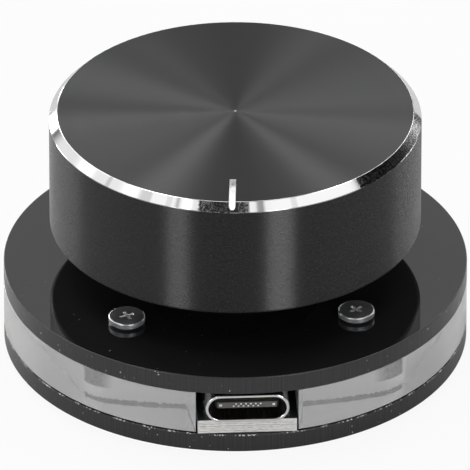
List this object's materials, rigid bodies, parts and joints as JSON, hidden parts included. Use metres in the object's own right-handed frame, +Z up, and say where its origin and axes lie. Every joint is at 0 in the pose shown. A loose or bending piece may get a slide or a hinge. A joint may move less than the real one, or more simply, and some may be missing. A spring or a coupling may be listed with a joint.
{
  "type": "usb volume control knob",
  "caption": "Desk volume knob: a turned black knob that turns and presses on a rotary encoder over a layered acrylic base with a cable socket.",
  "frame": {"origin": "on the table, on the axis of the knob, under the feet", "axes": "+Z up along the knob's axis, -Y towards the cable socket, +X to the right seen from the socket"},
  "size_m": [0.05, 0.05, 0.0286],
  "materials": {
    "black_acrylic": "polished sheet with a laser-cut edge",
    "joint_film": "matt",
    "clear_acrylic": "clear, slightly hazy cut faces",
    "screw_steel": "nickel plated",
    "nylon": "moulded",
    "foot_rubber": "matt",
    "board": "black solder mask over pale glass fibre edges",
    "socket_steel": "bright nickel",
    "socket_plastic": "moulded",
    "gold_contact": "gold plated",
    "chip_epoxy": "moulded epoxy",
    "tin_lead": "tinned",
    "chip_ceramic": "fired ceramic",
    "chip_resistor": "glazed",
    "encoder_steel": "rolled sheet",
    "bush_metal": "die cast",
    "phenolic": "moulded",
    "switch_plastic": "moulded",
    "rotor_plastic": "moulded",
    "slider_plastic": "moulded",
    "shaft_metal": "turned",
    "spring_steel": "blued",
    "black_anodised": "spun and anodised black with a bright cut chamfer",
    "hub_plastic": "moulded"
  },
  "bodies": {
    "base": {"bottom_plate": "black_acrylic", "joint_film": "joint_film", "clear_ring": "clear_acrylic", "top_plate": "black_acrylic", "case_screws": "screw_steel", "board_spacers": "nylon", "rubber_feet": "foot_rubber", "circuit_board": "board", "usb_shell": "socket_steel", "usb_insulator": "socket_plastic", "usb_contacts": "gold_contact", "microcontroller": "chip_epoxy", "microcontroller_leads": "tin_lead", "voltage_regulator": "chip_epoxy", "regulator_leads": "tin_lead", "chip_capacitors": "chip_ceramic", "chip_resistors": "chip_resistor", "encoder_cover": "encoder_steel", "encoder_bush": "bush_metal", "encoder_housing": "phenolic", "encoder_terminals": "tin_lead", "detent_spring": "encoder_steel", "switch_housing": "switch_plastic", "switch_terminals": "tin_lead", "switch_dome": "encoder_steel"},
    "rotor": {"encoder_rotor": "rotor_plastic", "rotor_wipers": "gold_contact"},
    "knob": {"encoder_shaft": "shaft_metal", "shaft_clip": "spring_steel", "knob_shell": "black_anodised", "knob_hub": "hub_plastic"},
    "slider": {"switch_slider": "slider_plastic"}
  },
  "joints": [
    {"name": "knob_turn", "type": "hinge", "parent": "base", "child": "rotor", "pos_m": [0, 0, 0.009], "axis": [0, 0, -1], "continuous": true},
    {"name": "knob_press", "type": "slide", "parent": "rotor", "child": "knob", "axis": [0, 0, -1], "range_m": [0, 0.0005], "stiffness_N_per_m": 3000, "springref_m": -0.0008, "deforming": ["switch_dome"]},
    {"name": "slider_press", "type": "slide", "parent": "base", "child": "slider", "axis": [0, 0, -1], "range_m": [0, 0.0005]}
  ],
  "couplings": [
    {"joint": "slider_press", "follows": "knob_press", "ratio": 1}
  ]
}
